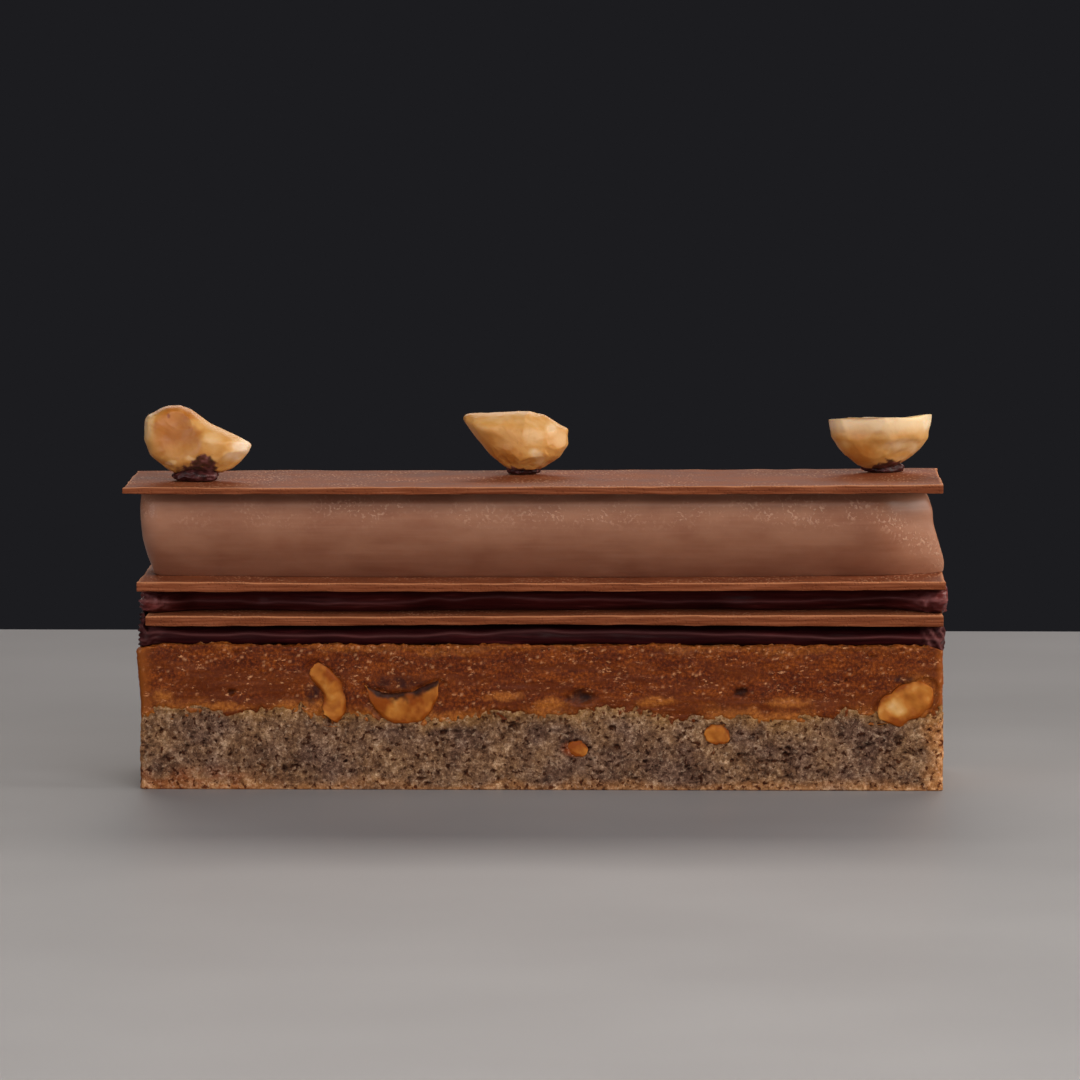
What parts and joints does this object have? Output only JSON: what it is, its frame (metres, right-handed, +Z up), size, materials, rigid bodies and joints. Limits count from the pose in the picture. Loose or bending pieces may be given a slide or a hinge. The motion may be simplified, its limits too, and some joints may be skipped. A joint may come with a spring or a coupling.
{
  "type": "layered chocolate and hazelnut entremet",
  "caption": "Rectangular entremet bar of sponge, praline, ganache, thin chocolate sheets and piped cream, cut to show its layers and topped with hazelnuts.",
  "frame": {"origin": "centre of the flat underside that the bar rests on", "axes": "+X along the bar, to the right as seen facing its front cut face; -Y out of the front cut face; +Z up"},
  "size_m": [0.1132, 0.03, 0.0523],
  "materials": {
    "sponge": "open crumb of a baked hazelnut sponge, dull and porous",
    "praline": "soft caramel praline with fine sugary grain",
    "ganache": "dark, moist, glossy ganache",
    "milk_chocolate": "satin tempered milk chocolate sheet with fine pits",
    "cream": "smooth piped milk chocolate cream with a soft sheen",
    "dark_chocolate": "dabs of set dark chocolate",
    "hazelnut": "broken roasted hazelnut kernel, waxy and slightly translucent"
  },
  "bodies": {
    "root": {"sponge_base": "sponge", "praline_layer": "praline", "ganache_lower": "ganache", "ganache_upper": "ganache", "sheet_lower": "milk_chocolate", "sheet_middle": "milk_chocolate", "sheet_top": "milk_chocolate", "cream_bar": "cream", "chocolate_dot_left": "dark_chocolate", "chocolate_dot_centre": "dark_chocolate", "chocolate_dot_right": "dark_chocolate", "hazelnut_left": "hazelnut", "hazelnut_centre": "hazelnut", "hazelnut_right": "hazelnut", "nut_inset_curl": "hazelnut", "nut_inset_half": "hazelnut", "nut_inset_corner": "hazelnut", "nut_crumb_centre": "hazelnut", "nut_crumb_right": "hazelnut"}
  },
  "joints": []
}
